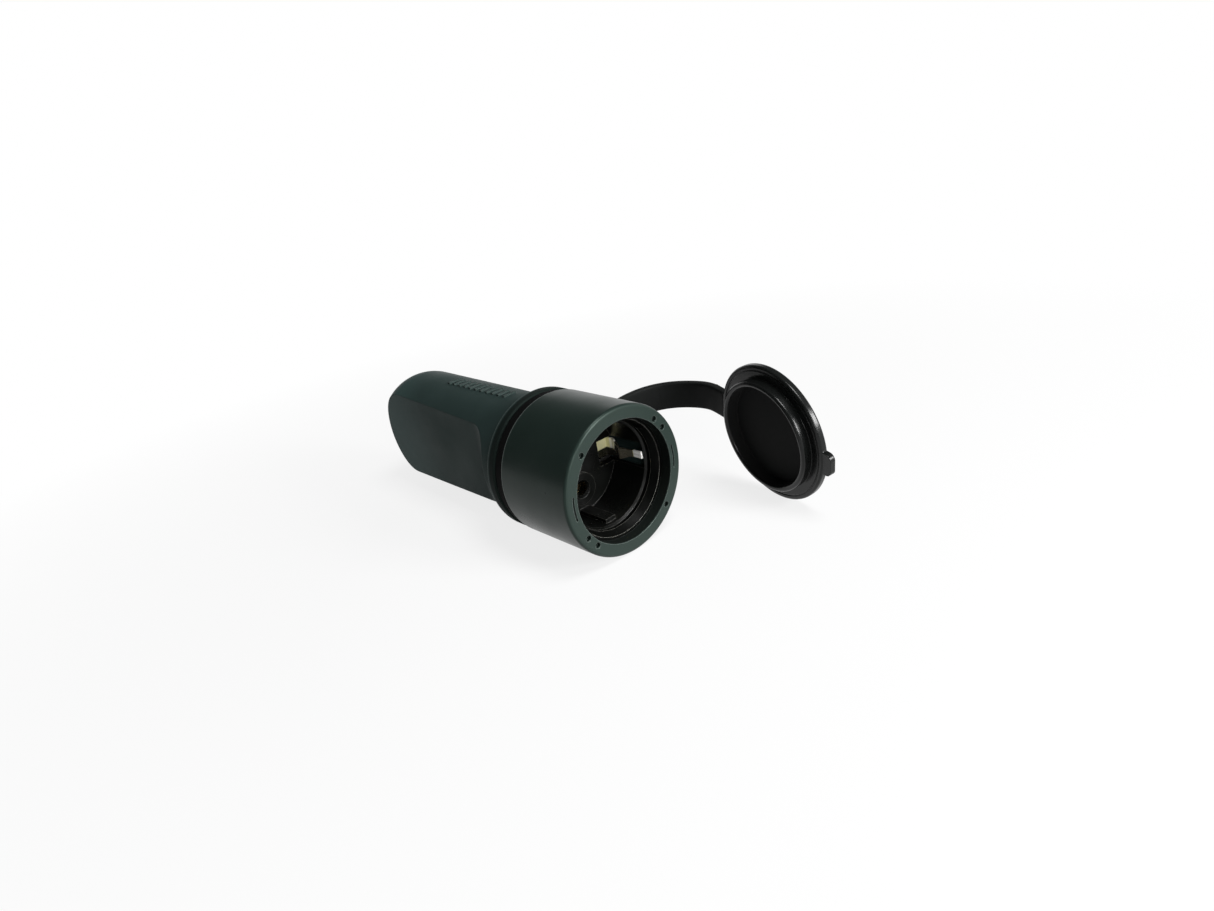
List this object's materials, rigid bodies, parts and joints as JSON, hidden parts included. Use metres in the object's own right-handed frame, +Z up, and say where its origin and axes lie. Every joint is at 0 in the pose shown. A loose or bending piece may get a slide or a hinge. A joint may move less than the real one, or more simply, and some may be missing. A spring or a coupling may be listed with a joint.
{
  "type": "industrial cable coupler",
  "caption": "Round handheld cable socket with an earthed plug recess, domed grip and a strapped sealing cap that stands open beside its mouth.",
  "frame": {"origin": "centre of the mouth's face", "axes": "+X out of the mouth along the axis, +Z up through the upper pin hole, +Y towards the opened cap"},
  "size_m": [0.1992, 0.0957, 0.056],
  "materials": {
    "housing_rubber": "matt",
    "cap_rubber": "satin",
    "seal_rubber": "matt",
    "insert_plastic": "matt",
    "carrier_plastic": "matt",
    "brass": "satin",
    "plated_strip": "satin",
    "plated_steel": "satin"
  },
  "bodies": {
    "coupler": {"socket_collar": "housing_rubber", "mouth_seal": "seal_rubber", "grip_handle": "housing_rubber", "cable_grommet": "seal_rubber", "socket_insert": "insert_plastic", "live_contact": "brass", "neutral_contact": "brass", "earth_stirrup": "plated_strip", "live_terminal": "brass", "neutral_terminal": "brass", "earth_terminal": "brass", "terminal_screws": "plated_steel", "contact_carrier": "carrier_plastic", "cord_clamp_bridge": "carrier_plastic", "cord_clamp_screws": "plated_steel", "centre_screw": "plated_steel", "housing_seal": "seal_rubber", "strap_ring": "cap_rubber"},
    "strap": {"strap": "cap_rubber"},
    "cap": {"sealing_cap": "cap_rubber"}
  },
  "joints": [
    {"name": "neck_bend", "type": "hinge", "parent": "coupler", "child": "strap", "pos_m": [-0.0391, 0.03248, 0.00584], "axis": [0, 0.0237, 0.9997], "range_deg": [-49.9, 30]},
    {"name": "cap_bend", "type": "hinge", "parent": "strap", "child": "cap", "pos_m": [-0.01482, 0.06553, 0.00677], "axis": [0.1767, -0.1257, 0.9762], "range_deg": [-28.1, 60]}
  ]
}
